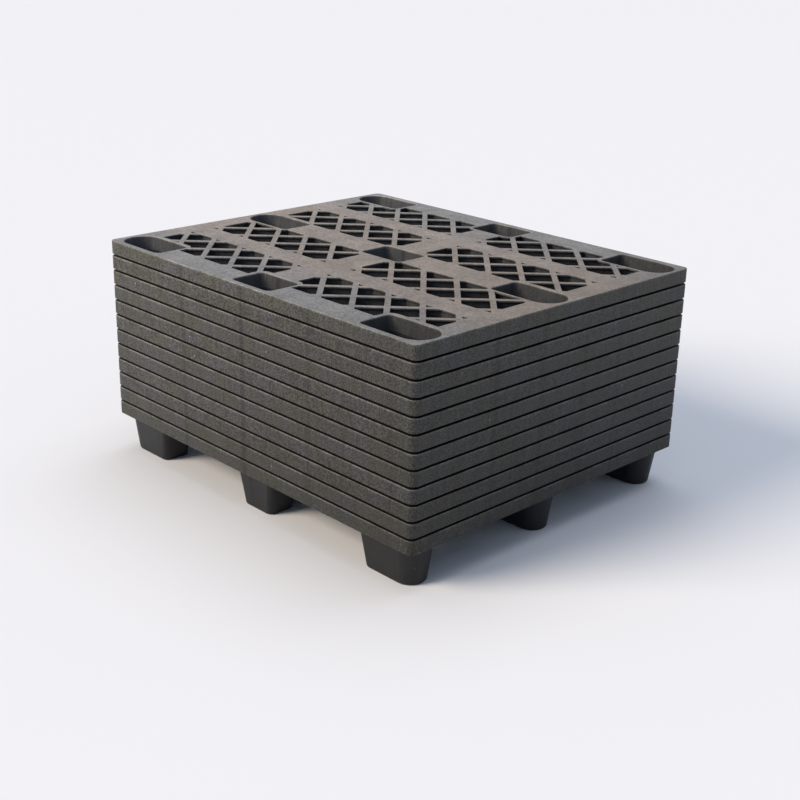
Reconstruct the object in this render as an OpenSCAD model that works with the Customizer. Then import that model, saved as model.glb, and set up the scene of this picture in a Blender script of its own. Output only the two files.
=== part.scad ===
// A nested stack of nine-leg plastic pallets, 1200 x 1000 mm.
// Each pallet is one moulding: a flat deck with lattice windows, a skirt, ribs under
// the deck and nine hollow tapered legs. The legs of one pallet drop into the open legs
// of the pallet below, and its feet come to rest on the stop ribs there.
// X runs along the length and Y along the width. Z = 0 is the floor, under the middle.

/* [Stack] */
// Number of pallets nested in the stack
pallet_count = 12; // [2:1:16]
// Height that each nested pallet adds to the stack
nest_pitch = 42.4; // [34:0.1:52]
// Open gap between one pallet's rim and the next
rim_gap = 5.8; // [3:0.1:9]
// Gap at the long sides between a leg and the pocket that it drops into
side_clearance = 0.9; // [0.8:0.1:2]
// Gap at the ends between a leg and the pocket that it drops into
end_clearance = 3.2; // [0.8:0.1:5]

/* [Pallet] */
// Length of the deck
deck_length = 1200; // [1000:10:1440]
// Width of the deck
deck_width = 1000; // [830:10:1200]
// Height of one pallet, from its feet to its deck
pallet_height = 140; // [115:1:170]
// Rounding of the deck's corners, seen from above
corner_radius = 18; // [8:1:30]
// Thickness of the deck plate
deck_thickness = 4; // [3:0.1:6]
// Thickness of the skirt around the edge
skirt_thickness = 3.5; // [2.5:0.1:5]

/* [Windows] */
// Solid border of the deck along each short edge
end_border = 65; // [50:1:80]
// Solid border of the deck along each long edge
side_border = 80; // [66:1:96]
// Solid band through the middle of the deck, both ways
centre_band = 96; // [80:1:116]
// Solid band between the two windows on each side of the middle
inner_band = 70; // [56:1:84]
// Distance between lattice crossings, measured along the deck
lattice_pitch = 117; // [98:1:140]
// Width of a lattice bar
bar_width = 15; // [12:0.5:18]
// Depth of a lattice bar, from the deck's top face
bar_depth = 8; // [6:0.5:12]

/* [Ribs] */
// Thickness of every rib under the deck
rib_thickness = 3; // [2.2:0.1:4]
// Height of the ribs' lower edges above the skirt's lower edge
rib_recess = 6.6; // [4:0.2:12]
// Distance that a window's frame rib is set back from the window's edge
rib_setback = 5; // [3:0.5:8]

/* [Legs] */
// Width of a leg's open top, across the pallet
pocket_width = 102; // [85:1:110]
// Length of the open top of a leg in the middle row
middle_pocket_length = 148; // [120:1:175]
// Length of the open top of a leg in an end row
end_pocket_length = 193; // [160:1:230]
// Deck left between an end leg's round nose and the short edge
nose_margin = 12; // [11:1:20]
// Deck left between an outer leg's open top and the long edge
side_margin = 17; // [14:1:24]
// Rounding of a leg's corners at the deck
pocket_radius = 16; // [8:1:24]
// Flat border kept around every open leg where it meets a window
pocket_lip = 11; // [6:0.5:14]
// Thickness of a leg's wall, measured level
leg_wall = 3.4; // [2.8:0.1:4.5]
// Thickness of a leg's floor
foot_thickness = 4; // [3:0.1:6]
// Distance between the two stop ribs on a leg's floor
stop_spacing = 44; // [36:1:52]
// Width of the square drain hole in each foot
drain_width = 14; // [8:1:20]

/* [Hidden] */
corner_steps = 3;
nose_steps = 5;
overshoot = 1;

skirt_height = nest_pitch - rim_gap;
side_taper = (leg_wall + side_clearance) / nest_pitch;
end_taper = (leg_wall + end_clearance) / nest_pitch;

window_length = (deck_length - centre_band - 2 * end_border) / 2;
window_width = (deck_width - centre_band - 2 * inner_band - 2 * side_border) / 4;
window_x = (centre_band + window_length) / 2;
window_y = [
    (centre_band + window_width) / 2,
    (centre_band + window_width) / 2 + window_width + inner_band
];
bar_pitch = lattice_pitch / sqrt(2);

leg_x = deck_length / 2 - nose_margin - end_pocket_length / 2;
leg_y = deck_width / 2 - side_margin - pocket_width / 2;

function pallet_name(i) = str("pallet_", i < 10 ? "0" : "", i);

// Points of a quarter of a circle about a centre, counter-clockwise from an angle
function quarter_arc(centre, radius, start, steps) = [
    for (k = [0:steps])
        centre + radius * [cos(start + 90 * k / steps), sin(start + 90 * k / steps)]
];

// Points of a box whose corners are rounded, with one radius at +X and another at -X
function rounded_box(size, front, back, grow = 0, front_steps = corner_steps) =
    let (x = size[0] / 2, y = size[1] / 2)
    concat(
        quarter_arc([x - front, y - front], front + grow, 0, front_steps),
        quarter_arc([back - x, y - back], back + grow, 90, corner_steps),
        quarter_arc([back - x, back - y], back + grow, 180, corner_steps),
        quarter_arc([x - front, front - y], front + grow, 270, front_steps)
    );

// The deck's outline, with rounded corners, made larger by a given margin
module deck_outline(grow = 0) {
    polygon(rounded_box([deck_length, deck_width], corner_radius, corner_radius, grow));
}

// A leg of the middle row, seen from above
module middle_pocket(grow = 0) {
    polygon(rounded_box([middle_pocket_length, pocket_width], pocket_radius, pocket_radius, grow));
}

// A leg of an end row, seen from above: square inside and round at its nose, towards +X
module end_pocket(grow = 0) {
    size = [end_pocket_length, pocket_width];
    polygon(rounded_box(size, pocket_width / 2, pocket_radius, grow, nose_steps));
}

// Puts its child at the three legs of the middle row
module at_middle_legs() {
    for (y = [-leg_y, 0, leg_y])
        translate([0, y, 0])
            children();
}

// Puts its child at the six legs of the end rows, with its +X side towards the short edge
module at_end_legs() {
    for (side = [0, 1], y = [-leg_y, 0, leg_y])
        mirror([side, 0, 0])
            translate([leg_x, y, 0])
                children();
}

// The diamonds between the lattice bars of one window, cut off at the window's edge
module window_cells(x, y) {
    w = window_length / 2;
    h = window_width / 2;
    hole = bar_pitch - bar_width;
    reach = hole / sqrt(2);
    half = lattice_pitch / 2;
    intersection() {
        translate([x, y])
            square([window_length, window_width], center = true);
        for (m = [ceil((x - w - reach) / half):floor((x + w + reach) / half)])
            for (n = [ceil((y - h - reach) / half):floor((y + h + reach) / half)])
                if ((m + n) % 2 != 0)
                    translate([m, n] * half)
                        rotate(45)
                            square(hole, center = true);
    }
}

// All the openings of the deck, less a lip around each open leg
module deck_cells() {
    difference() {
        for (sx = [-1, 1], sy = [-1, 1], y = window_y)
            window_cells(sx * window_x, sy * y);
        at_middle_legs() middle_pocket(pocket_lip);
        at_end_legs() end_pocket(pocket_lip);
    }
}

// The eight windows as plain rectangles, made larger by a given margin
module windows(grow) {
    for (sx = [-1, 1], sy = [-1, 1], y = window_y)
        translate([sx * window_x, sy * y])
            square([window_length, window_width] + 2 * grow * [1, 1], center = true);
}

// Cross ribs that tie the window frames to each other and to the skirt
module cross_ribs() {
    for (sx = [-1, 1])
        translate([sx * window_x, 0])
            square([rib_thickness, deck_width - skirt_thickness], center = true);
}

// The deck with its skirt, and the ribs and lattice bars left between the hollows below it
module deck() {
    bottom = pallet_height - skirt_height;
    difference() {
        translate([0, 0, bottom])
            linear_extrude(skirt_height) deck_outline();
        translate([0, 0, bottom - overshoot])
            linear_extrude(rib_recess + overshoot) deck_outline(-skirt_thickness);
        translate([0, 0, bottom])
            linear_extrude(skirt_height - deck_thickness)
                difference() {
                    deck_outline(-skirt_thickness);
                    windows(rib_setback + rib_thickness);
                    cross_ribs();
                }
        translate([0, 0, bottom])
            linear_extrude(skirt_height - bar_depth) windows(rib_setback);
        translate([0, 0, bottom])
            linear_extrude(skirt_height + overshoot) deck_cells();
    }
}

// Distance at the deck from a leg's middle to its wall, in a direction seen from above
function reach(length, nose, direction) =
    let (r = cos(direction) > 0 ? nose : pocket_radius)
    (length / 2 - r) * abs(cos(direction)) + (pocket_width / 2 - r) * abs(sin(direction)) + r;

// How far a leg's wall leans in for each millimetre down, in a direction seen from above
function lean(direction) = norm([end_taper * cos(direction), side_taper * sin(direction)]);

// Directions that the flats of a leg face, with a nose of a given radius towards +X
function flats(nose) =
    let (step = 90 / (nose > pocket_radius ? nose_steps : corner_steps), back = 90 / corner_steps)
    concat([for (d = [-90:step:90]) d], [for (d = [90 + back:back:270 - back]) d]);

// A tapered solid with flat sides, from height z0 to z1, a given wall outside a leg's hollow
module leg_solid(length, nose, wall, z0, z1) {
    size = 2 * end_pocket_length;
    intersection() {
        translate([-size / 2, -size / 2, z0])
            cube([size, size, z1 - z0]);
        intersection_for (d = flats(nose))
            rotate(d)
                translate([reach(length, nose, d) + wall, 0, pallet_height])
                    rotate([0, atan(lean(d)), 0])
                        translate([-size, -size, -size])
                            cube([size, 2 * size, 2 * size]);
    }
}

// The outside of a leg, from its foot up into the deck
module leg_shell(length, nose) {
    leg_solid(length, nose, leg_wall, 0, pallet_height - deck_thickness / 2);
}

// The space inside a leg, less the two stop ribs that carry the next pallet's foot
module pocket(length, nose) {
    difference() {
        leg_solid(length, nose, 0, foot_thickness, pallet_height + overshoot);
        for (s = [-1, 1])
            translate([s * stop_spacing / 2 - rib_thickness / 2, -pocket_width / 2, 0])
                cube([rib_thickness, pocket_width, nest_pitch]);
    }
    translate([-drain_width / 2, -drain_width / 2, -overshoot])
        cube([drain_width, drain_width, foot_thickness + 2 * overshoot]);
}

// One moulded pallet, standing on Z = 0
module pallet() {
    difference() {
        union() {
            deck();
            at_middle_legs() leg_shell(middle_pocket_length, pocket_radius);
            at_end_legs() leg_shell(end_pocket_length, pocket_width / 2);
        }
        at_middle_legs() pocket(middle_pocket_length, pocket_radius);
        at_end_legs() pocket(end_pocket_length, pocket_width / 2);
    }
}

for (i = [1:pallet_count])
    color([0.34, 0.34, 0.33])
            translate([0, 0, (i - 1) * nest_pitch])
                pallet();
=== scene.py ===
"""Looks of a nested stack of nine-leg plastic pallets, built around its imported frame.

Every pallet is one injection moulding, so one mesh is made and used for them all. It is
built the way the mould is: a rounded slab hollowed from below, ribs and lattice webs,
nine tapered legs, and then the cells, the open legs and the drain holes cut out of it.
Lengths inside the classes are millimetres. Blender's objects are in metres.
"""

import logging
import math
from collections.abc import Iterator, Sequence
from dataclasses import dataclass, field
from enum import Enum
from functools import partial
from itertools import product

import bpy
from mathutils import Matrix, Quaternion, Vector


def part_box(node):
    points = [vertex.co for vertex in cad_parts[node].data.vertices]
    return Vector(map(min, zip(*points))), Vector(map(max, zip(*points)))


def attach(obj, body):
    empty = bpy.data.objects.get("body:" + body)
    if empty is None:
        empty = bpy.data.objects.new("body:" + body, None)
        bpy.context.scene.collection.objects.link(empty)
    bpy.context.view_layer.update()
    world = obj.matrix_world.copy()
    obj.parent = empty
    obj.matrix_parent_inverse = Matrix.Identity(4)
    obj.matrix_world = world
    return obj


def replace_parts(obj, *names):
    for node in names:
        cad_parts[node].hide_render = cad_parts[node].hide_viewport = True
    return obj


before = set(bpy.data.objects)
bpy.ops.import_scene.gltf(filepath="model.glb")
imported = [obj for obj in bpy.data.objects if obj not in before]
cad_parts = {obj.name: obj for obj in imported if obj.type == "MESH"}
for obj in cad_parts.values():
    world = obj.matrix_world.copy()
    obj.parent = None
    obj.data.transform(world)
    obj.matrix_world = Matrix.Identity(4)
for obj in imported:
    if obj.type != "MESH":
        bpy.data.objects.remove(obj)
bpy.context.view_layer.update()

MM = 0.001
STRAIGHT = 1e-4  # half-angle tangent below which a corner counts as straight
SIDE_SHARE = 0.42  # most of a side that one rounded corner may take
LEAST_CELL = 12.0  # smallest lattice cell that is cut, in square millimetres
LEAST_WEB = 12.0  # shortest web, as far as it runs along X, in millimetres
SHARP_ANGLE = 38.0  # degrees between faces from which an edge is shaded sharp
BLACK, WHITE = (0, 0, 0, 1), (1, 1, 1, 1)
log = logging.getLogger("pallets")

Point = tuple[float, float]
Outline = list[Point]
Ring = list[tuple[float, float, float]]


class Cut(Enum):
    """The ways that one solid is worked into another."""

    JOIN = "UNION"
    REMOVE = "DIFFERENCE"


# ---------------------------------------------------------------- outlines, seen from above


def rounded_box(
    length: float, width: float, front: float, back: float, steps: tuple[int, int] = (4, 4)
) -> Outline:
    """A box with rounded corners, counter-clockwise.

    Args:
        length: Size along X.
        width: Size along Y.
        front: Corner radius at +X.
        back: Corner radius at -X.
        steps: Straight pieces in each front corner and in each back one.

    Returns:
        The outline's points.
    """
    x, y = length / 2, width / 2
    corners = (
        (x - front, y - front, front, 0, steps[0]),
        (back - x, y - back, back, 90, steps[1]),
        (back - x, back - y, back, 180, steps[1]),
        (x - front, front - y, front, 270, steps[0]),
    )
    return [
        (
            cx + radius * math.cos(math.radians(start + 90 * k / count)),
            cy + radius * math.sin(math.radians(start + 90 * k / count)),
        )
        for cx, cy, radius, start, count in corners
        for k in range(count + 1)
    ]


def clipped(outline: Outline, low: Point, high: Point) -> Outline:
    """The part of a convex outline inside an upright box.

    Args:
        outline: Convex outline.
        low: The box's lowest corner.
        high: The box's highest corner.

    Returns:
        The outline that is left, empty if the two don't meet.
    """
    for axis, limit, sign in ((0, low[0], 1), (0, high[0], -1), (1, low[1], 1), (1, high[1], -1)):
        kept: Outline = []
        for a, b in zip(outline, outline[1:] + outline[:1], strict=True):
            inside_a, inside_b = sign * (a[axis] - limit), sign * (b[axis] - limit)
            if inside_a >= 0:
                kept.append(a)
            if (inside_a > 0 > inside_b) or (inside_a < 0 < inside_b):
                t = inside_a / (inside_a - inside_b)
                kept.append((a[0] + t * (b[0] - a[0]), a[1] + t * (b[1] - a[1])))
        outline = kept
        if len(outline) < 3:
            return []
    return outline


def corner_turns(outline: Outline) -> Iterator[tuple[Vector, Vector, Vector]]:
    """Each corner of an outline with the directions into it and out of it."""
    points = [Vector(p) for p in outline]
    count = len(points)
    for k, here in enumerate(points):
        yield here, here - points[k - 1], points[(k + 1) % count] - here


def softened(outline: Outline, radius: float, steps: int = 2) -> Outline:
    """A convex outline with its corners rounded, less where its sides are short.

    Args:
        outline: Convex outline, counter-clockwise.
        radius: Radius wanted at each corner.
        steps: Straight pieces in each corner.

    Returns:
        The rounded outline.
    """
    made: Outline = []
    for here, into, out in corner_turns(outline):
        turn = abs(into.angle_signed(out))
        half = math.tan(turn / 2)
        if half < STRAIGHT:
            made.append(tuple(here))
            continue
        reach = min(radius * half, SIDE_SHARE * into.length, SIDE_SHARE * out.length)
        r = reach / half
        along = into.normalized()
        start = here - along * reach
        inward = Vector((-along.y, along.x))
        centre = start + inward * r
        for k in range(steps + 1):
            angle = turn * k / steps
            spoke = -inward
            made.append(
                (
                    centre.x + r * (spoke.x * math.cos(angle) - spoke.y * math.sin(angle)),
                    centre.y + r * (spoke.x * math.sin(angle) + spoke.y * math.cos(angle)),
                )
            )
    return made


def grown(outline: Outline, distance: float) -> Outline:
    """A convex outline moved outwards by a distance, point for point."""
    made: Outline = []
    for here, into, out in corner_turns(outline):
        a, b = into.normalized(), out.normalized()
        normal_a, normal_b = Vector((a.y, -a.x)), Vector((b.y, -b.x))
        middle = (normal_a + normal_b).normalized()
        made.append(tuple(here + middle * (distance / max(0.3, middle.dot(normal_a)))))
    return made


def moved(outline: Outline, x: float, y: float, flip: bool = False) -> Outline:
    """An outline moved to a place, and turned half way round first if flip is true."""
    sign = -1 if flip else 1
    return [(x + sign * px, y + sign * py) for px, py in outline]


def area(outline: Outline) -> float:
    """The area inside an outline."""
    pairs = zip(outline, outline[1:] + outline[:1], strict=True)
    return abs(sum(a[0] * b[1] - a[1] * b[0] for a, b in pairs)) / 2


# ---------------------------------------------------------------- closed solids


@dataclass
class Solid:
    """Closed shells that don't touch each other, ready to be joined to or cut from another.

    Attributes:
        name: What the solid is.
        vertices: Points, in millimetres.
        faces: Corners of each face, counter-clockwise from outside.
    """

    name: str
    vertices: list[tuple[float, float, float]] = field(default_factory=list)
    faces: list[tuple[int, ...]] = field(default_factory=list)

    def loft(self, rings: Sequence[Ring]) -> None:
        """Adds a shell through rings of equal length, listed from the lowest to the highest."""
        first, count = len(self.vertices), len(rings[0])
        for ring in rings:
            self.vertices.extend(ring)
        for level in range(len(rings) - 1):
            low, high = first + level * count, first + (level + 1) * count
            for k in range(count):
                n = (k + 1) % count
                self.faces.append((low + k, low + n, high + n, high + k))
        top = first + (len(rings) - 1) * count
        self.faces.append(tuple(first + k for k in reversed(range(count))))
        self.faces.append(tuple(top + k for k in range(count)))

    def prism(self, outline: Outline, low: float, high: float) -> None:
        """Adds an upright prism between two heights."""
        self.loft([[(x, y, z) for x, y in outline] for z in (low, high)])

    def bar(self, start: Point, end: Point, thickness: float, low: float, high: float) -> None:
        """Adds an upright flat bar along the line between two points."""
        a, b = Vector(start), Vector(end)
        side = (b - a).normalized().orthogonal() * (thickness / 2)
        corners = [a - side, b - side, b + side, a + side]
        if (b - a).cross(side) < 0:
            corners.reverse()
        self.prism([tuple(c) for c in corners], low, high)

    def as_object(self) -> bpy.types.Object:
        """Makes the Blender object, in metres."""
        mesh = bpy.data.meshes.new(self.name)
        mesh.from_pydata([[c * MM for c in v] for v in self.vertices], [], self.faces)
        obj = bpy.data.objects.new(self.name, mesh)
        bpy.context.scene.collection.objects.link(obj)
        return obj


def evaluated(obj: bpy.types.Object) -> bpy.types.Mesh:
    """The object's mesh with its modifiers applied."""
    graph = bpy.context.evaluated_depsgraph_get()
    return bpy.data.meshes.new_from_object(obj.evaluated_get(graph), depsgraph=graph)


def work(target: bpy.types.Object, tool: Solid, how: Cut) -> None:
    """Joins a solid to the target or removes it from it, and leaves nothing else behind."""
    other = tool.as_object()
    step = target.modifiers.new(tool.name, "BOOLEAN")
    step.operation, step.solver, step.object = how.value, "MANIFOLD", other
    result, old = evaluated(target), target.data
    target.modifiers.clear()
    target.data = result
    bpy.data.objects.remove(other)
    bpy.data.meshes.remove(old)
    log.info("%s %s: %d faces", how.name.lower(), tool.name, len(result.polygons))


# ---------------------------------------------------------------- the pallet's parts


@dataclass(frozen=True)
class Leg:
    """One hollow leg, given by its open top at the deck and the lean of its walls.

    Attributes:
        length: Length of the open top.
        width: Width of the open top.
        height: Height of the deck's top face.
        side_lean: Millimetres that a long side leans in for each millimetre down.
        end_lean: The same for the ends.
        round_nose: Whether the end at +X is a half circle.
        corner: Radius of the square corners.
        wall: Thickness of the wall, measured level.
        floor: Thickness of the floor.
        foot_round: Rounding along the foot's edge.
        mouth_round: Rounding of the edge where the open top meets the deck.
        rib_spacing: Distance between the two stop ribs.
        rib_thickness: Thickness of a stop rib.
    """

    length: float
    width: float
    height: float
    side_lean: float
    end_lean: float
    round_nose: bool
    corner: float = 15.0
    wall: float = 3.4
    floor: float = 4.0
    foot_round: float = 5.0
    mouth_round: float = 3.0
    rib_spacing: float = 44.0
    rib_thickness: float = 3.0

    def outline(self, z: float, grow: float = 0.0) -> Outline:
        """The leg's hollow at a height, seen from above, made larger by a margin."""
        drop = self.height - z
        length = self.length - 2 * self.end_lean * drop + 2 * grow
        width = self.width - 2 * self.side_lean * drop + 2 * grow
        nose = width / 2 - 0.5 if self.round_nose else self.corner + grow
        return rounded_box(length, width, nose, self.corner + grow, (9 if self.round_nose else 5, 5))

    def placed(self, z: float, grow: float, x: float, y: float) -> Ring:
        """The outline at a height and place, with its +X end turned to the nearer short edge."""
        return [(px, py, z) for px, py in moved(self.outline(z, grow), x, y, flip=x < 0)]

    def add_shell(self, solid: Solid, x: float, y: float, top: float) -> None:
        """Adds the leg's outside, from a rounded foot up to a height."""
        r = self.foot_round
        turns = [math.radians(a) for a in (0, 22.5, 45, 67.5, 90)]
        rings = [
            self.placed(r * (1 - math.cos(a)), self.wall - r * (1 - math.sin(a)), x, y) for a in turns
        ]
        solid.loft([*rings, self.placed(top, self.wall, x, y)])

    def add_hollow(self, solid: Solid, x: float, y: float) -> None:
        """Adds the space inside, with a rounded floor edge below and a rounded mouth above."""
        r, m = 3.0, self.mouth_round
        turns = [math.radians(a) for a in (0, 30, 60, 90)]
        floor = [
            self.placed(self.floor + r * (1 - math.cos(a)), -r * (1 - math.sin(a)), x, y) for a in turns
        ]
        mouth = [
            self.placed(self.height - m + m * math.sin(a), m * (1 - math.cos(a)), x, y) for a in turns
        ]
        over = [(px, py, self.height + 1) for px, py, _ in mouth[-1]]
        solid.loft([*floor, *mouth, over])

    def add_stop_ribs(self, solid: Solid, x: float, y: float, top: float) -> None:
        """Adds the two upright ribs that carry the foot of the next pallet."""
        for side in (-1, 1):
            place = x + side * self.rib_spacing / 2
            solid.bar((place, y - self.width), (place, y + self.width), self.rib_thickness, 0, top)


@dataclass(frozen=True)
class Lattice:
    """The eight windows of the deck and the slanting lattice that fills them.

    Attributes:
        columns: Lowest and highest X of each window.
        rows: Lowest and highest Y of each window.
        pitch: Distance between crossings, along the deck.
        bar: Width of a bar's flange.
        web: Thickness of the web below each bar.
        setback: Distance of the frame ribs from the windows' edges.
        corner: Rounding of a cell's corners.
        edge: Rounding of a cell's upper edge.
    """

    columns: tuple[Point, ...]
    rows: tuple[Point, ...]
    pitch: float = 117.0
    bar: float = 15.0
    web: float = 3.2
    setback: float = 5.0
    corner: float = 2.2
    edge: float = 0.8

    @property
    def spacing(self) -> float:
        """Distance from one bar to the next, square to the bars."""
        return self.pitch / math.sqrt(2)

    def windows(self) -> Iterator[tuple[Point, Point]]:
        """The lowest and highest corner of each window."""
        for (x0, x1), (y0, y1) in product(self.columns, self.rows):
            yield (x0, y0), (x1, y1)

    def cells(self) -> Iterator[Outline]:
        """The outline of each cell, cut off at its window's edge."""
        half, reach = self.pitch / 2, (self.spacing - self.bar) / math.sqrt(2)
        for low, high in self.windows():
            ms = range(math.floor((low[0] - reach) / half), math.ceil((high[0] + reach) / half) + 1)
            ns = range(math.floor((low[1] - reach) / half), math.ceil((high[1] + reach) / half) + 1)
            for m, n in product(ms, ns):
                if (m + n) % 2 == 0:
                    continue
                x, y = m * half, n * half
                diamond = [(x + reach, y), (x, y + reach), (x - reach, y), (x, y - reach)]
                shape = clipped(diamond, low, high)
                if shape and area(shape) > LEAST_CELL:
                    yield shape

    def cell_cutters(self, low: float, high: float) -> Solid:
        """The cells as cutters that flare out over the deck's upper edge."""
        solid = Solid("lattice_cells")
        for shape in self.cells():
            inner = softened(shape, self.corner)
            outer = grown(inner, self.edge)
            levels = ((inner, low), (inner, high - self.edge), (outer, high), (outer, high + 1))
            solid.loft([[(x, y, z) for x, y in outline] for outline, z in levels])
        return solid

    def webs(self, slant: int, low: float, high: float) -> Solid:
        """The webs that run one way below the bars, from frame rib to frame rib.

        Args:
            slant: 1 for webs that rise along X, and -1 for those that fall.
            low: Height of their lower edges.
            high: Height of their upper edges.

        Returns:
            One solid with a shell for each web.
        """
        solid = Solid(f"webs_{'rising' if slant > 0 else 'falling'}")
        out = self.setback + self.web / 2
        for (x0, y0), (x1, y1) in self.windows():
            x0, y0, x1, y1 = x0 - out, y0 - out, x1 + out, y1 + out
            ends = [y - slant * x for x in (x0, x1) for y in (y0, y1)]
            for k in range(math.ceil(min(ends) / self.pitch), math.floor(max(ends) / self.pitch) + 1):
                level = k * self.pitch
                a, b = sorted(((y0 - level) * slant, (y1 - level) * slant))
                left, right = max(x0, a), min(x1, b)
                if right - left > LEAST_WEB:
                    start, end = ((x, level + slant * x) for x in (left, right))
                    solid.bar(start, end, self.web, low, high)
        return solid


@dataclass(frozen=True)
class Pallet:
    """One moulded pallet, standing on Z = 0 with its middle at X = Y = 0.

    Attributes:
        length: Length of the deck.
        width: Width of the deck.
        height: Height of the deck's top face.
        pitch: Height that a nested pallet adds to a stack.
        seam: Open gap between two rims in a stack.
        corner: Rounding of the deck's corners, seen from above.
        deck: Thickness of the deck plate.
        skirt: Thickness of the skirt.
        rim_round: Rounding of the rim's upper edge.
        hem_round: Rounding of the rim's lower edge.
        end_border: Solid border along the short edges.
        side_border: Solid border along the long edges.
        centre_band: Solid band through the middle, both ways.
        inner_band: Solid band between two rows of windows.
        rib: Thickness of the ribs below the deck.
        rib_depth: Depth of the ribs, from the deck's top face.
        short_rib_rise: How much less deep the short ribs below the solid bands are.
        rib_spacing: Distance between those short ribs.
        nose_margin: Deck between an end leg and the short edge.
        side_margin: Deck between an outer leg and the long edge.
        leg_width: Width of a leg's open top.
        middle_length: Length of a middle leg's open top.
        end_length: Length of an end leg's open top.
        lip: Flat border around a leg where it meets a window.
        side_clearance: Gap between nested legs at their sides.
        end_clearance: Gap between nested legs at their ends.
        drain: Width of the drain hole in a foot.
        contact_gap: Gap kept between a foot and the stop ribs that carry it, too small to see,
            so that the two faces don't cut into each other.
    """

    length: float
    width: float
    height: float
    pitch: float
    seam: float = 5.8
    corner: float = 18.0
    deck: float = 4.0
    skirt: float = 3.5
    rim_round: float = 2.0
    hem_round: float = 1.2
    end_border: float = 65.0
    side_border: float = 80.0
    centre_band: float = 96.0
    inner_band: float = 70.0
    rib: float = 2.6
    rib_depth: float = 30.0
    short_rib_rise: float = 8.0
    rib_spacing: float = 58.5
    nose_margin: float = 12.0
    side_margin: float = 17.0
    leg_width: float = 102.0
    middle_length: float = 148.0
    end_length: float = 193.0
    lip: float = 11.0
    side_clearance: float = 0.9
    end_clearance: float = 3.2
    drain: float = 14.0
    contact_gap: float = 0.05

    def leg(self, round_nose: bool) -> Leg:
        """The form of a leg of the end rows, or of the middle row."""
        wall = Leg.wall
        return Leg(
            length=self.end_length if round_nose else self.middle_length,
            width=self.leg_width,
            height=self.height,
            side_lean=(wall + self.side_clearance) / self.pitch,
            end_lean=(wall + self.end_clearance) / self.pitch,
            round_nose=round_nose,
        )

    def legs(self) -> Iterator[tuple[Leg, float, float]]:
        """The nine legs with their places."""
        end_x = self.length / 2 - self.nose_margin - self.end_length / 2
        side_y = self.width / 2 - self.side_margin - self.leg_width / 2
        for x, y in product((-end_x, 0.0, end_x), (-side_y, 0.0, side_y)):
            yield self.leg(round_nose=x != 0), x, y

    def lattice(self) -> Lattice:
        """The lattice, laid out from the deck's borders and bands."""
        x0, x1 = self.centre_band / 2, self.length / 2 - self.end_border
        y0, y3 = self.centre_band / 2, self.width / 2 - self.side_border
        each = (y3 - y0 - self.inner_band) / 2
        y1, y2 = y0 + each, y3 - each
        return Lattice(
            columns=((-x1, -x0), (x0, x1)),
            rows=((-y3, -y2), (-y1, -y0), (y0, y1), (y2, y3)),
        )

    def edge(self, z: float, grow: float) -> Ring:
        """The deck's outline at a height, made larger by a margin."""
        radius = self.corner + grow
        shape = rounded_box(self.length + 2 * grow, self.width + 2 * grow, radius, radius, (6, 6))
        return [(x, y, z) for x, y in shape]

    def slab(self) -> Solid:
        """The outside of deck and skirt, with rounded upper and lower edges."""
        low, top = self.height - self.pitch + self.seam, self.height
        hem, rim = self.hem_round, self.rim_round
        turns = [math.radians(a) for a in (0, 30, 60, 90)]
        below = [self.edge(low + hem * (1 - math.cos(a)), -hem * (1 - math.sin(a))) for a in turns]
        above = [self.edge(top - rim * (1 - math.sin(a)), -rim * (1 - math.cos(a))) for a in turns]
        solid = Solid("slab")
        solid.loft([*below, *above])
        return solid

    def underside(self) -> Solid:
        """The space below the deck, inside the skirt."""
        solid = Solid("underside")
        solid.prism([p[:2] for p in self.edge(0, -self.skirt)], 0, self.height - self.deck)
        return solid

    def long_ribs(self, along_x: bool, lattice: Lattice) -> Solid:
        """The ribs that frame the windows, from skirt to skirt."""
        solid = Solid(f"frame_ribs_{'x' if along_x else 'y'}")
        low, high = self.height - self.rib_depth, self.height - self.deck / 2
        out = lattice.setback + self.rib / 2
        reach = (self.length if along_x else self.width) / 2 - self.skirt / 2
        for first, last in lattice.rows if along_x else lattice.columns:
            for place in (first - out, last + out):
                ends = ((end, place) if along_x else (place, end) for end in (-reach, reach))
                solid.bar(*ends, self.rib, low, high)
        return solid

    def short_ribs(self, along_x: bool, lattice: Lattice) -> Solid:
        """The short ribs that cross the solid borders and bands between the frame ribs."""
        solid = Solid(f"short_ribs_{'x' if along_x else 'y'}")
        low = self.height - self.rib_depth + self.short_rib_rise
        high = self.height - self.deck / 2
        spans = lattice.columns if along_x else lattice.rows
        edge = (self.length if along_x else self.width) / 2 - self.skirt / 2
        limits = [-edge, *(e for span in spans for e in span), edge]
        inset = [0, *([lattice.setback + self.rib / 2] * (len(limits) - 2)), 0]
        bands = [
            (limits[k] + inset[k], limits[k + 1] - inset[k + 1])
            for k in range(0, len(limits), 2)
        ]
        half = (self.width if along_x else self.length) / 2 - self.rib_spacing / 2
        count = int(half // self.rib_spacing)
        for k in range(-count, count + 1):
            place = k * self.rib_spacing
            for band in bands:
                ends = ((end, place) if along_x else (place, end) for end in band)
                solid.bar(*ends, self.rib, low, high)
        return solid

    def leg_tools(self) -> tuple[Solid, Solid, Solid, Solid]:
        """The solids that make the legs: shells, lips kept around them, hollows and drain holes."""
        shells, lips = Solid("leg_shells"), Solid("leg_lips")
        hollows, drains = Solid("leg_hollows"), Solid("drain_holes")
        for leg, x, y in self.legs():
            leg.add_shell(shells, x, y, self.height - self.deck / 2)
            lip = [p[:2] for p in leg.placed(self.height, self.lip, x, y)]
            lips.prism(lip, self.height - self.pitch, self.height + self.lip)
            leg.add_hollow(hollows, x, y)
            drains.prism(moved(rounded_box(self.drain, self.drain, 3, 3), x, y), -1, leg.floor + 1)
        return shells, lips, hollows, drains

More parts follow.
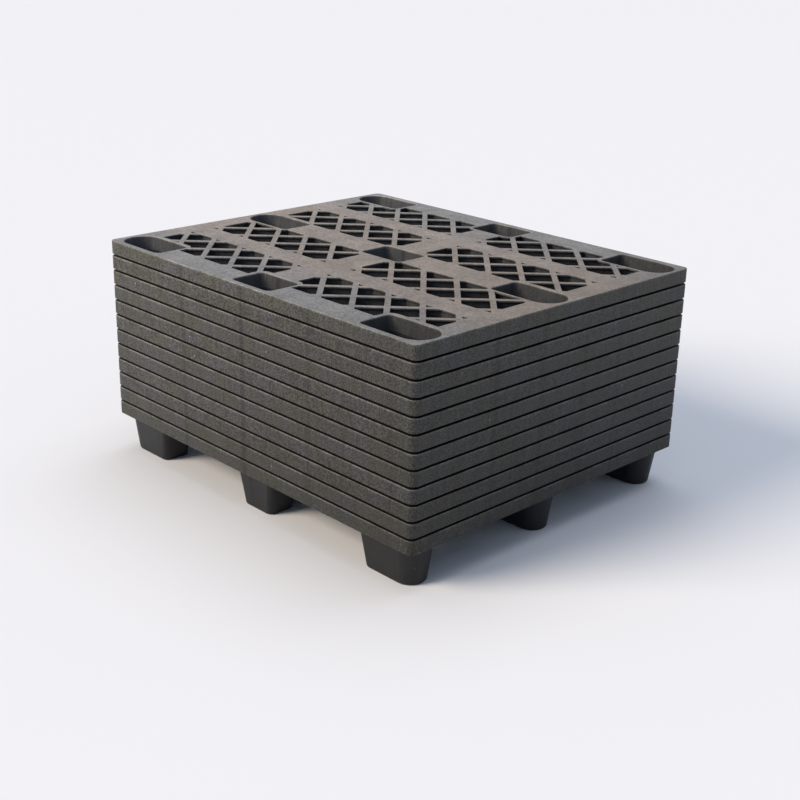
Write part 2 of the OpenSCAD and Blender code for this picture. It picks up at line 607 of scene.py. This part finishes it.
    def stop_ribs(self) -> Solid:
        """The ribs inside all nine legs."""
        solid = Solid("stop_ribs")
        for leg, x, y in self.legs():
            leg.add_stop_ribs(solid, x, y, self.pitch - self.contact_gap)
        return solid

    def build(self) -> bpy.types.Mesh:
        """Makes the whole moulding.

        Returns:
            Its mesh, in metres, with smooth fillets and flat faces shaded flat.
        """
        lattice = self.lattice()
        shells, lips, hollows, drains = self.leg_tools()
        low, under = self.height - self.rib_depth, self.height - self.deck / 2
        body = self.slab().as_object()
        work(body, self.underside(), Cut.REMOVE)
        for solid in (
            self.long_ribs(True, lattice),
            self.long_ribs(False, lattice),
            self.short_ribs(True, lattice),
            self.short_ribs(False, lattice),
            lattice.webs(1, low, under),
            lattice.webs(-1, low, under),
            shells,
        ):
            work(body, solid, Cut.JOIN)
        cells = lattice.cell_cutters(self.height - self.deck - 1, self.height).as_object()
        work(cells, lips, Cut.REMOVE)
        pockets = hollows.as_object()
        work(pockets, self.stop_ribs(), Cut.REMOVE)
        for cutter in (cells, pockets):
            step = body.modifiers.new(cutter.name, "BOOLEAN")
            step.operation, step.solver, step.object = Cut.REMOVE.value, "MANIFOLD", cutter
        body.data = evaluated(body)
        body.modifiers.clear()
        for cutter in (cells, pockets):
            bpy.data.objects.remove(cutter)
        work(body, drains, Cut.REMOVE)
        body.data.shade_smooth()
        body.data.set_sharp_from_angle(angle=math.radians(SHARP_ANGLE))
        weighted = body.modifiers.new("even_shading", "WEIGHTED_NORMAL")
        weighted.keep_sharp, weighted.weight = True, 100
        mesh = evaluated(body)
        bpy.data.objects.remove(body)
        mesh.name = "pallet_moulding"
        mesh.materials.clear()
        return mesh


# ---------------------------------------------------------------- finish


def linear(colour: str) -> tuple[float, float, float, float]:
    """An sRGB hex colour such as #5C5A55 as linear red, green, blue and alpha."""
    values = [int(colour[i : i + 2], 16) / 255 for i in (1, 3, 5)]
    done = [v / 12.92 if v <= 0.04045 else ((v + 0.055) / 1.055) ** 2.4 for v in values]
    return (*done, 1.0)


def add_node(
    tree: bpy.types.NodeTree,
    kind: str,
    links: dict | None = None,
    stops: Sequence[tuple[float, Sequence[float]]] = (),
    **settings: object,
) -> bpy.types.Node:
    """Adds one node with its settings, input values and links.

    Args:
        tree: The node tree.
        kind: The node's type name, without the ShaderNode in front.
        links: Input socket to an output socket or to a value.
        stops: Position and colour of each stop, from the lowest, where the node has a ramp.
        **settings: Properties of the node.

    Returns:
        The node.
    """
    node = tree.nodes.new("ShaderNode" + kind)
    for key, value in settings.items():
        setattr(node, key, value)
    for key, value in (links or {}).items():
        if isinstance(value, bpy.types.NodeSocket):
            tree.links.new(value, node.inputs[key])
        else:
            node.inputs[key].default_value = value
    for k, (position, colour) in enumerate(stops):
        elements = node.color_ramp.elements
        stop = elements[k] if k < 2 else elements.new(position)
        stop.position, stop.color = position, colour
    return node


@dataclass(frozen=True)
class MouldedRecycledPolyethylene:
    """Charcoal polyethylene from recycled crates, injection moulded against a plain steel tool.

    The eye sees a dull, uneven charcoal: faint olive and slate clouds where regrind of other colours
    shows, a fine grain, flow lines down the walls, soft dark sink marks down the skirt and pale
    handling wear on the edges. Sun and dust have greyed what is open to them: the rims' outsides and
    the top deck. The tone also carries painted light, lighter towards the -X end and darker towards +X.
    It carries painted shade as well, near black on the legs and on the lower decks that the stack
    hides.

    Attributes:
        sheltered: Colour of plastic that the sun has not yellowed.
        charcoal: Colour of weathered plastic between its clouds.
        olive_cloud: Colour of its olive clouds.
        slate_cloud: Colour of its slate clouds.
        painted_light_gradient: Painted light along X: the tone at -X, painted lighter, and at the other
            end, painted darker.
        painted_shade_tone: Tone of the painted shade on the legs below the skirt and, on a pallet with
            another on top, on all but the rims' outsides, where 1 is unshaded plastic.
        worn: Colour of a rubbed edge.
        rubbing: Least and most of a rubbed edge that shows.
        rubbed_band: Height of the band below a rim's upper edge that is rubbed a little as well.
        dust: Colour of the dust in the middle of the deck.
        washed_dust: Colour of the dust near the long edges, where rain has washed it.
        washed: Where the washing starts and is full, as shares of the way to a long edge.
        dust_cover: How much of the plastic the dust hides, at the deck's +X end and at -X.
        roughness: Roughness of rubbed, of plain and of dusty plastic.
        gloss: Level of the mirror part, low because the grain is too fine to draw and breaks it up.
        refraction: Refractive index of polyethylene.
        relief: Strength of the grain's bumps and their height.
        grain: Size of the grain. Real grain is under 1 mm, and it is drawn coarser to show.
        grain_swing: How far the grain sways the tone: sheltered, weathered, dusty and rubbed.
        cloud: Size of a cloud of regrind.
        cloud_swing: How far the clouds sway the tone.
        flow: Width of a flow line.
        flow_stretch: How many times longer than wide a flow line is.
        flow_swing: How far the flow lines sway the tone.
        drift: Size of the patches that the dust has blown into.
        scuff: Size of the patches that pale scuffs come from.
        tier_shift: Metres that the patterns move from one pallet of a stack to the next.
        skin: Depth behind a rim's face to which plastic has weathered, and where that ends.
        sink_width: Half of the width of a sink mark.
        sink_tone: Tone in the middle of the deepest sink mark.
        sinks_x: Place and depth, up to 1, of each sink mark along the long sides. The places
            are part of the finish and don't follow the ribs behind the skirt.
        sinks_y: Place and depth, up to 1, of each sink mark along the short sides.
    """

    sheltered: str = "#383A3E"
    charcoal: str = "#383835"
    olive_cloud: str = "#3A3A32"
    slate_cloud: str = "#373737"
    painted_light_gradient: tuple[float, float] = (1.42, 0.76)
    painted_shade_tone: float = 0.35
    worn: str = "#8B8984"
    rubbing: tuple[float, float] = (0.3, 0.6)
    rubbed_band: float = 6.0
    dust: str = "#8B8178"
    washed_dust: str = "#807F7E"
    washed: tuple[float, float] = (0.35, 0.9)
    dust_cover: tuple[float, float] = (0.88, 0.62)
    roughness: tuple[float, float, float] = (0.4, 0.5, 0.58)
    gloss: float = 0.3
    refraction: float = 1.54
    relief: tuple[float, float] = (0.35, 0.4)
    grain: float = 3.8
    grain_swing: tuple[float, float, float, float] = (0.2, 0.5, 0.16, 0.0)
    cloud: float = 75.0
    cloud_swing: float = 0.12
    flow: float = 11.0
    flow_stretch: float = 22.0
    flow_swing: float = 0.16
    drift: float = 260.0
    scuff: float = 14.0
    tier_shift: tuple[float, float, float] = (0.31, 0.17, 1.57)
    skin: tuple[float, float] = (5.5, 9.0)
    sink_width: float = 13.0
    sink_tone: float = 0.5
    sinks_x: tuple[Point, ...] = (
        (-541, 0.3), (-264, 0.8), (-13, 1.0), (241, 0.5), (366, 0.3), (528, 0.4)
    )
    sinks_y: tuple[Point, ...] = (
        (-440, 0.3), (-238, 0.6), (-72, 0.5), (86, 0.4), (221, 0.6), (428, 0.2)
    )

    def material(self, pallet: Pallet) -> bpy.types.Material:
        """Builds the node material for pallets of one form.

        Args:
            pallet: The form, whose rim and legs say what a stack covers.

        Returns:
            The material. It reads a piece's colour: red is its tone, painted darker towards the bottom
            of the stack as shade, and green is 1 on the pallet that has no other on top.
        """
        made = bpy.data.materials.new("moulded_recycled_polyethylene")
        made.use_nodes = True
        tree = made.node_tree
        tree.nodes.clear()
        node = partial(add_node, tree)
        place = node("TexCoord").outputs["Object"]
        piece = node("ObjectInfo").outputs
        marks = node("SeparateColor", {0: piece["Color"]}).outputs
        xyz = node("SeparateXYZ", {0: place}).outputs
        face = node("SeparateXYZ", {0: node("NewGeometry").outputs["Normal"]}).outputs

        # Each pallet has its own clouds and grain: its number in the stack moves the patterns.
        shift = {0: piece["Object Index"], 1: self.tier_shift, 2: place}
        own = node("VectorMath", shift, operation="MULTIPLY_ADD").outputs[0]
        squeeze = {0: own, 1: (1, 1, 1 / self.flow_stretch)}
        long = node("VectorMath", squeeze, operation="MULTIPLY").outputs[0]
        grain, cloud, flow, drift, chips = (
            node("TexNoise", {"Vector": at, "Scale": 1 / (size * MM), "Detail": detail}).outputs["Fac"]
            for at, size, detail in (
                (own, self.grain, 2.0),
                (own, self.cloud, 1.5),
                (long, self.flow, 2.0),
                (own, self.drift, 3.0),
                (own, self.scuff, 1.0),
            )
        )
        unshaded, weathered = self.unshaded(tree, pallet, xyz, face["Z"], marks["Green"])
        dust = self.dust_layer(tree, pallet, xyz, face["Z"], drift, marks["Green"])
        wear = self.wear(tree, pallet, xyz["Z"], face["Z"], cloud, chips)

        # The tone is the painted shade, times the pallet's own tone, which is painted darker towards
        # the bottom of the stack, times the painted light gradient along X, and times each pattern's
        # swing about 1.
        # Painted shade: the legs, and all of a pallet with another on top except its rims' outsides,
        # are painted down to a dark tone where the stack casts shade.
        tone = node("MapRange", {"Value": unshaded, "To Min": self.painted_shade_tone}).outputs["Result"]
        # Painted light: the tone is painted lighter towards -X and darker towards +X, standing in for
        # light that falls off along the stack's long sides.
        half = pallet.length / 2 * MM
        painted_lit_end, painted_shaded_end = self.painted_light_gradient
        limits = {"From Min": -half, "From Max": half, "To Min": painted_lit_end, "To Max": painted_shaded_end}
        painted_light_falloff = node("MapRange", {"Value": xyz["X"], **limits}).outputs["Result"]
        for share in (marks["Red"], painted_light_falloff):
            tone = node("Math", {0: tone, 1: share}, operation="MULTIPLY").outputs[0]
        grain_swing, *swings = self.grain_swing
        for cover, swing in zip((weathered, dust, wear), swings, strict=True):
            limits = {"To Min": grain_swing, "To Max": swing}
            grain_swing = node("MapRange", {"Value": cover, **limits}).outputs["Result"]
        for pattern, reach, swing in (
            (grain, 0.07, grain_swing),
            (cloud, 0.2, self.cloud_swing),
            (flow, 0.2, self.flow_swing),
        ):
            limits = {"From Min": 0.5 - reach, "From Max": 0.5 + reach, "To Min": -1.0}
            part = node("MapRange", {"Value": pattern, **limits}).outputs["Result"]
            part = node("Math", {0: part, 1: swing, 2: 1.0}, operation="MULTIPLY_ADD").outputs[0]
            tone = node("Math", {0: tone, 1: part}, operation="MULTIPLY").outputs[0]
        for along, facing, length, sinks in (
            (xyz["X"], face["Y"], pallet.length, self.sinks_x),
            (xyz["Y"], face["X"], pallet.width, self.sinks_y),
        ):
            tone = self.sink_marks(tree, tone, along, facing, length, sinks)

        # Clouds of regrind lie in weathered plastic, dust lies over both, and wear over all.
        stops = (
            (0.4, linear(self.olive_cloud)),
            (0.62, linear(self.slate_cloud)),
            (0.52, linear(self.charcoal)),
        )
        colour = node("ValToRGB", {"Fac": cloud}, stops).outputs["Color"]
        aged = {0: weathered, 6: linear(self.sheltered), 7: colour}
        colour = node("Mix", aged, data_type="RGBA").outputs[2]
        out = node("Math", {0: xyz["Y"]}, operation="ABSOLUTE").outputs[0]
        inner, outer = (share * pallet.width / 2 * MM for share in self.washed)
        limits = {"Value": out, "From Min": inner, "From Max": outer}
        out = node("MapRange", limits, interpolation_type="SMOOTHSTEP").outputs["Result"]
        washing = {0: out, 6: linear(self.dust), 7: linear(self.washed_dust)}
        fallen = node("Mix", washing, data_type="RGBA").outputs[2]
        for cover, over in ((dust, fallen), (wear, linear(self.worn))):
            colour = node("Mix", {0: cover, 6: colour, 7: over}, data_type="RGBA").outputs[2]
        colour = node("HueSaturation", {"Color": colour, "Value": tone}).outputs["Color"]
        rubbed, plain, dusty = self.roughness
        rough = node("MapRange", {"Value": dust, "To Min": plain, "To Max": dusty}).outputs["Result"]
        shine = {0: wear, 1: rubbed - plain, 2: rough}
        rough = node("Math", shine, operation="MULTIPLY_ADD").outputs[0]
        strength, depth = self.relief
        relief = node("Bump", {"Height": grain, "Strength": strength, "Distance": depth * MM})
        surface = {
            "Base Color": colour,
            "Roughness": rough,
            "IOR": self.refraction,
            "Specular IOR Level": self.gloss,
            "Normal": relief.outputs["Normal"],
        }
        shader = node("BsdfPrincipled", surface)
        node("OutputMaterial", {"Surface": shader.outputs["BSDF"]})
        return made

    def unshaded(
        self,
        tree: bpy.types.NodeTree,
        pallet: Pallet,
        xyz: bpy.types.bpy_prop_collection,
        upward: bpy.types.NodeSocket,
        uncovered: bpy.types.NodeSocket,
    ) -> tuple[bpy.types.NodeSocket, bpy.types.NodeSocket]:
        """Where the tone is left unshaded: the rims' outsides, and all of a pallet with no other on top
        above the skirt's lower edge. The legs and the rest of a pallet under another get painted shade.

        Args:
            tree: The node tree.
            pallet: The pallet's form.
            xyz: Coordinates on the pallet, in metres.
            upward: How far the surface faces up.
            uncovered: 1 on a pallet that has no other on top.

        Returns:
            1 where the tone is left unshaded and 0 where it gets painted shade, and then 1 on the
            outsides of the rims only.
        """
        node = partial(add_node, tree)
        rims = []
        for axis, size in (("X", pallet.length), ("Y", pallet.width)):
            out = node("Math", {0: xyz[axis]}, operation="ABSOLUTE").outputs[0]
            begun, full = ((size / 2 - depth) * MM for depth in reversed(self.skin))
            limits = {"From Min": begun, "From Max": full}
            rims.append(node("MapRange", {"Value": out, **limits}).outputs["Result"])
        rim = node("Math", {0: rims[0], 1: rims[1]}, operation="MAXIMUM").outputs[0]
        limits = {"From Min": 0.98, "From Max": 0.92}
        side = node("MapRange", {"Value": upward, **limits}).outputs["Result"]
        rim = node("Math", {0: rim, 1: side}, operation="MULTIPLY").outputs[0]
        shown = node("Math", {0: rim, 1: uncovered}, operation="MAXIMUM").outputs[0]
        # The painted shade also darkens the legs below the skirt's lower edge, on every pallet, where
        # the skirt shades them.
        hem = pallet.height - pallet.pitch + pallet.seam
        limits = {"From Min": (hem - 2) * MM, "From Max": hem * MM}
        above = node("MapRange", {"Value": xyz["Z"], **limits}).outputs["Result"]
        return node("Math", {0: shown, 1: above}, operation="MULTIPLY").outputs[0], rim

    def dust_layer(
        self,
        tree: bpy.types.NodeTree,
        pallet: Pallet,
        xyz: bpy.types.bpy_prop_collection,
        upward: bpy.types.NodeSocket,
        drift: bpy.types.NodeSocket,
        uncovered: bpy.types.NodeSocket,
    ) -> bpy.types.NodeSocket:
        """How much of the plastic the dust hides, on what faces up.

        Args:
            tree: The node tree.
            pallet: The pallet's form.
            xyz: Coordinates on the pallet, in metres.
            upward: How far the surface faces up.
            drift: The pattern of patches that the dust has blown into.
            uncovered: 1 on a pallet that has no other on top.

        Returns:
            The dust's cover.
        """
        node = partial(add_node, tree)
        half = pallet.length / 2 * MM
        right, left = self.dust_cover
        # The drift pattern shifts the line where one end's cover gives way to the other's.
        swing = {0: drift, 1: -1.6 * half, 2: xyz["X"]}
        blown = node("Math", swing, operation="MULTIPLY_ADD").outputs[0]
        limits = {"From Min": 0.2 * half, "From Max": -1.4 * half, "To Min": right, "To Max": left}
        blown = node("MapRange", {"Value": blown, **limits}).outputs["Result"]
        limits = {"Value": upward, "From Min": 0.6, "From Max": 0.99}
        flat = node("MapRange", limits, interpolation_type="SMOOTHSTEP").outputs["Result"]
        for share in (flat, uncovered):
            blown = node("Math", {0: blown, 1: share}, operation="MULTIPLY").outputs[0]
        return blown

    def wear(
        self,
        tree: bpy.types.NodeTree,
        pallet: Pallet,
        level: bpy.types.NodeSocket,
        upward: bpy.types.NodeSocket,
        cloud: bpy.types.NodeSocket,
        chips: bpy.types.NodeSocket,
    ) -> bpy.types.NodeSocket:
        """How far the plastic is rubbed pale: along the upper edges and in a few scuffs.

        Args:
            tree: The node tree.
            pallet: The pallet's form.
            level: Height on the pallet, in metres.
            upward: How far the surface faces up. Only narrow fillets face halfway up.
            cloud: The pattern that makes the rubbing come and go.
            chips: The pattern whose peaks are scuffs.

        Returns:
            The wear's cover.
        """
        node = partial(add_node, tree)
        stops = ((0.2, BLACK), (0.97, BLACK), (0.45, WHITE), (0.85, WHITE))
        fillet = node("ValToRGB", {"Fac": upward}, stops)
        limits = {"From Min": (pallet.height - self.rubbed_band) * MM, "From Max": pallet.height * MM}
        band = node("MapRange", {"Value": level, **limits, "To Max": 0.5}).outputs["Result"]
        side = node("MapRange", {"Value": upward, "From Min": 0.5, "From Max": 0.3}).outputs["Result"]
        band = node("Math", {0: band, 1: side}, operation="MULTIPLY").outputs[0]
        edge = node("Math", {0: fillet.outputs["Color"], 1: band}, operation="MAXIMUM").outputs[0]
        least, most = self.rubbing
        limits = {"From Min": 0.38, "From Max": 0.56, "To Min": least, "To Max": most}
        rubbed = node("MapRange", {"Value": cloud, **limits}).outputs["Result"]
        rubbed = node("Math", {0: edge, 1: rubbed}, operation="MULTIPLY").outputs[0]
        scuffs = node("MapRange", {"Value": chips, "From Min": 0.77, "From Max": 0.82, "To Max": 0.7})
        return node("Math", {0: rubbed, 1: scuffs.outputs["Result"]}, operation="MAXIMUM").outputs[0]

    def sink_marks(
        self,
        tree: bpy.types.NodeTree,
        tone: bpy.types.NodeSocket,
        along: bpy.types.NodeSocket,
        facing: bpy.types.NodeSocket,
        length: float,
        marks: tuple[Point, ...],
    ) -> bpy.types.NodeSocket:
        """Darkens the tone at the sink marks of the skirt's sides that face one way.

        Args:
            tree: The node tree.
            tone: The tone so far.
            along: Coordinate along the side, in metres.
            facing: How far the surface faces that side's way.
            length: Length of the side, in millimetres.
            marks: Place in millimetres and depth of each mark.

        Returns:
            The new tone.
        """
        node = partial(add_node, tree)
        half = length / 2
        limits = {"From Min": -half * MM, "From Max": half * MM}
        spot = node("MapRange", {"Value": along, **limits}).outputs["Result"]
        stops = [(0.0, BLACK), (1.0, BLACK)]
        for place, depth in marks:
            middle = (depth, depth, depth, 1)
            edges = ((-self.sink_width, BLACK), (0.0, middle), (self.sink_width, BLACK))
            stops += [((place + offset + half) / length, level) for offset, level in edges]
        sinks = node("ValToRGB", {"Fac": spot}, stops).outputs["Color"]
        flat = node("Math", {0: facing}, operation="ABSOLUTE").outputs[0]
        limits = {"From Min": 0.95, "From Max": 0.999}
        flat = node("MapRange", {"Value": flat, **limits}).outputs["Result"]
        here = node("Math", {0: sinks, 1: flat}, operation="MULTIPLY").outputs[0]
        limits = {"To Min": 1.0, "To Max": self.sink_tone}
        loss = node("MapRange", {"Value": here, **limits}).outputs["Result"]
        return node("Math", {0: tone, 1: loss}, operation="MULTIPLY").outputs[0]


# ---------------------------------------------------------------- the stack and its studio


@dataclass(frozen=True)
class Stack:
    """The nested stack: one moulding on each of the frame's bodies, from the floor up.

    Attributes:
        finish: The plastic that every pallet is moulded from.
        stack_shading: Tone of the lowest and the highest pallet, where 1 is the plastic's own: painted
            shade that darkens the stack towards the bottom, and painted light at the top.
        batch_swing: How far the tone of one pallet strays from its neighbours'.
        batch_turn: Radians that the straying turns on from one pallet to the next.
    """

    finish: MouldedRecycledPolyethylene
    stack_shading: tuple[float, float] = (0.76, 1.08)
    batch_swing: float = 0.03
    batch_turn: float = 2.4

    def build(self) -> None:
        """Makes every pallet and puts it on its body in place of its plain CAD node."""
        names = sorted(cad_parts)
        boxes = [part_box(name) for name in names]
        size = (boxes[0][1] - boxes[0][0]) / MM
        pallet = Pallet(size.x, size.y, size.z, pitch=(boxes[1][0].z - boxes[0][0].z) / MM)
        mesh = pallet.build()
        mesh.materials.append(self.finish.material(pallet))
        for tier, (name, (low, _)) in enumerate(zip(names, boxes, strict=True)):
            piece = bpy.data.objects.new(f"{name}_moulding", mesh)
            # Painted shade and light: each pallet's tone is painted darker towards the bottom of the
            # stack and lighter at the top. It then strays a little at random from batch to batch.
            tier_tone = self.stack_shading[0] + (self.stack_shading[1] - self.stack_shading[0]) * tier / (len(names) - 1)
            tier_tone *= 1 + self.batch_swing * math.sin(self.batch_turn * tier)
            uncovered = float(tier == len(names) - 1)
            piece.color, piece.pass_index = (tier_tone, uncovered, 0, 1), tier + 1
            bpy.context.scene.collection.objects.link(piece)
            piece.location.z = low.z
            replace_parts(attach(piece, name), name)
            log.info("%s: %d faces", piece.name, len(mesh.polygons))


@dataclass(frozen=True)
class Softbox:
    """A broad soft light.

    Attributes:
        name: What the light is.
        azimuth: Bearing in degrees, where 0 looks along +Y.
        elevation: Height above the horizon in degrees.
        strength: Light on a surface that faces it.
        spread: How wide it looks from the object, in degrees.
        colour: Colour of its light.
    """

    name: str
    azimuth: float
    elevation: float
    strength: float
    spread: float
    colour: str


@dataclass(frozen=True)
class Studio:
    """A pale floor, soft light and the camera.

    Attributes:
        azimuth: Camera's bearing in degrees, where 0 looks along +Y.
        elevation: Camera's height above the horizon in degrees.
        roll: Lean of the camera about its own axis in degrees.
        distance: Distance from the aim to the camera, in metres.
        aim: Point that the camera looks at, in metres.
        lens: Focal length in millimetres.
        sensor: Width of the sensor in millimetres.
        softboxes: The lights.
        sky: Colour of the surroundings.
        sky_strength: Light that the surroundings give.
        floor_colour: Colour of the floor.
        floor_size: Length and width of the floor, in millimetres.
    """

    azimuth: float = 45.855
    elevation: float = 20.725
    roll: float = 1.281
    distance: float = 3.654
    aim: tuple[float, float, float] = (0.0188, 0.0194, 0.1882)
    lens: float = 59.04
    sensor: float = 36.0
    softboxes: tuple[Softbox, ...] = (
        Softbox("overhead_softbox", 200, 72, 0.95, 50, "#FAFAFF"),
        Softbox("side_softbox", -24, 32, 3.45, 30, "#FFEFDA"),
    )
    sky: str = "#D6E4FA"
    sky_strength: float = 0.48
    floor_colour: str = "#E2E4E8"
    floor_size: float = 80000.0

    def direction(self, azimuth: float, elevation: float) -> Vector:
        """The direction from the object towards a bearing and height."""
        a, e = math.radians(azimuth), math.radians(elevation)
        return Vector((math.sin(a) * math.cos(e), -math.cos(a) * math.cos(e), math.sin(e)))

    def camera(self) -> None:
        """Makes the camera."""
        camera = bpy.data.objects.new("camera", bpy.data.cameras.new("camera"))
        bpy.context.scene.collection.objects.link(camera)
        back = self.direction(self.azimuth, self.elevation)
        camera.location = Vector(self.aim) + back * self.distance
        camera.rotation_mode = "QUATERNION"
        roll = Quaternion((0, 0, 1), math.radians(self.roll))
        camera.rotation_quaternion = (-back).to_track_quat("-Z", "Y") @ roll
        camera.data.lens, camera.data.sensor_width = self.lens, self.sensor
        camera.data.clip_end = 100
        bpy.context.scene.camera = camera

    def sun(self, box: Softbox) -> None:
        """Adds one softbox."""
        data = bpy.data.lights.new(box.name, "SUN")
        data.energy, data.angle = box.strength, math.radians(box.spread)
        data.color = linear(box.colour)[:3]
        light = bpy.data.objects.new(box.name, data)
        bpy.context.scene.collection.objects.link(light)
        towards = -self.direction(box.azimuth, box.elevation)
        light.rotation_mode = "QUATERNION"
        light.rotation_quaternion = towards.to_track_quat("-Z", "Y")

    def floor(self) -> None:
        """Makes the pale floor, just below the object's feet."""
        floor = Solid("floor")
        floor.prism(rounded_box(self.floor_size, self.floor_size, 100, 100), -20, -0.2)
        obj = floor.as_object()
        made = bpy.data.materials.new("pale_painted_floor")
        made.use_nodes = True
        shader = made.node_tree.nodes["Principled BSDF"]
        shader.inputs["Base Color"].default_value = linear(self.floor_colour)
        shader.inputs["Roughness"].default_value = 0.9
        obj.data.materials.append(made)

    def light(self) -> None:
        """Makes the world and the lights."""
        world = bpy.data.worlds.new("studio")
        bpy.context.scene.world = world
        world.use_nodes = True
        background = world.node_tree.nodes["Background"]
        background.inputs["Color"].default_value = linear(self.sky)
        background.inputs["Strength"].default_value = self.sky_strength
        for box in self.softboxes:
            self.sun(box)
        bpy.context.scene.view_settings.view_transform = "Standard"


def main() -> None:
    """Builds the stack in its studio."""
    logging.basicConfig(level=logging.INFO, format="%(message)s")
    studio = Studio()
    studio.camera()
    Stack(MouldedRecycledPolyethylene()).build()
    studio.floor()
    studio.light()
    bpy.context.view_layer.update()


if __name__ == "__main__":
    main()
